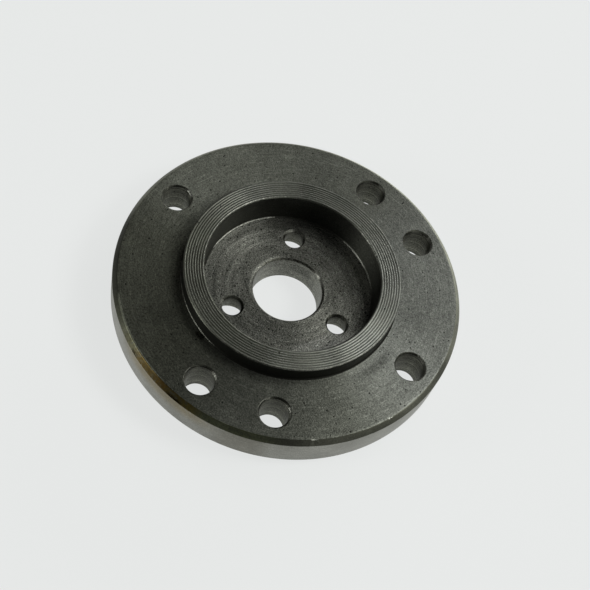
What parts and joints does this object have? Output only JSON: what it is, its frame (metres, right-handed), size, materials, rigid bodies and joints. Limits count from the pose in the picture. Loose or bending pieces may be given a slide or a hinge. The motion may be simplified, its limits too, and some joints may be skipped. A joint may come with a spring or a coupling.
{
  "type": "lathe chuck flange",
  "caption": "Round lathe chuck flange turned from one iron casting, with a grooved ring round a recess on the spindle side, a through bore, a low register on the chuck side, and chuck and spindle bolt holes.",
  "frame": {"origin": "bore axis where it meets the back seating face of the plate; the chuck register reaches 3.5 mm below it", "axes": "+Z along the bore axis towards the spindle and away from the chuck; the bolt hole shared by both chuck patterns lies on -X and a spindle screw hole lies on +X"},
  "size_m": [0.1, 0.1, 0.0195],
  "materials": {
    "flange": "turned and oiled grey iron, dark, with fine tool rings"
  },
  "bodies": {
    "root": {"flange": "flange"}
  },
  "joints": []
}
